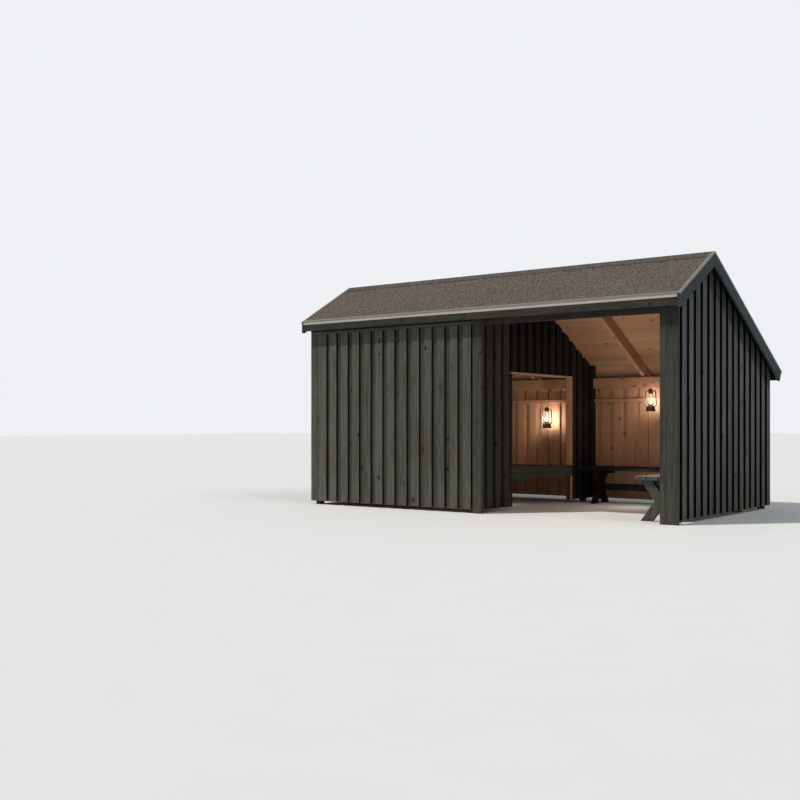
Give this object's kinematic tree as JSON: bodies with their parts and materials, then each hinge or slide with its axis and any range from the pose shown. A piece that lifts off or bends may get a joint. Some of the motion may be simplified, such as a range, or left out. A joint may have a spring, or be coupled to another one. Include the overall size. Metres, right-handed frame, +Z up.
{
  "type": "garden shelter",
  "caption": "Timber garden shelter with a closed sleeping room, an open bay with crossed-leg benches beside it, and a felted roof with a long rear slope.",
  "frame": {"origin": "on the ground, in the middle of the whole outline with its roof overhangs", "axes": "+X along the front from the closed room to the open bay, +Y from the front to the back, +Z up"},
  "size_m": [4.686, 2.908, 2.6419],
  "materials": {
    "dark_cladding": "dark stained, matt",
    "dark_trim": "dark stained, matt",
    "pine_frame": "bare planed pine",
    "pine_boards": "bare planed pine",
    "bench_wood": "dark stained, matt",
    "roof_felt": "granule covered",
    "edge_metal": "satin",
    "lantern_metal": "satin",
    "lantern_wire": "dull",
    "lantern_glass": "clear"
  },
  "bodies": {
    "root": {"front_wall": "dark_cladding", "front_frieze": "dark_cladding", "corner_boards": "dark_cladding", "left_gable_wall": "dark_cladding", "right_gable_wall": "dark_cladding", "rear_wall": "dark_cladding", "partition_front": "dark_cladding", "partition_head": "dark_cladding", "partition_rear": "dark_cladding", "fascia_boards": "dark_trim", "front_bargeboards": "dark_trim", "rear_bargeboards": "dark_trim", "front_posts": "pine_frame", "rear_posts": "pine_frame", "front_beam": "pine_frame", "rear_plate": "pine_frame", "wall_rails": "pine_frame", "front_rafters": "pine_frame", "rear_rafters": "pine_frame", "ridge_board": "pine_frame", "partition_studs": "pine_frame", "front_roof_boards": "pine_boards", "rear_roof_boards": "pine_boards", "bunk_deck": "pine_boards", "bunk_joists": "pine_boards", "doorway_jambs": "pine_boards", "doorway_head": "pine_boards", "rear_bench_seat": "bench_wood", "side_bench_seat": "bench_wood", "bench_legs_leaning_back": "bench_wood", "bench_legs_leaning_front": "bench_wood", "bench_cleats": "bench_wood", "bench_stretchers": "bench_wood", "bunk_front_board": "bench_wood", "front_felt": "roof_felt", "rear_felt": "roof_felt", "ridge_strip": "roof_felt", "drip_edges": "edge_metal", "front_verge_trims": "edge_metal", "rear_verge_trims": "edge_metal", "lantern_frames": "lantern_metal", "lantern_bails": "lantern_wire", "lantern_hooks": "lantern_wire", "lantern_glasses": "lantern_glass"}
  },
  "joints": []
}
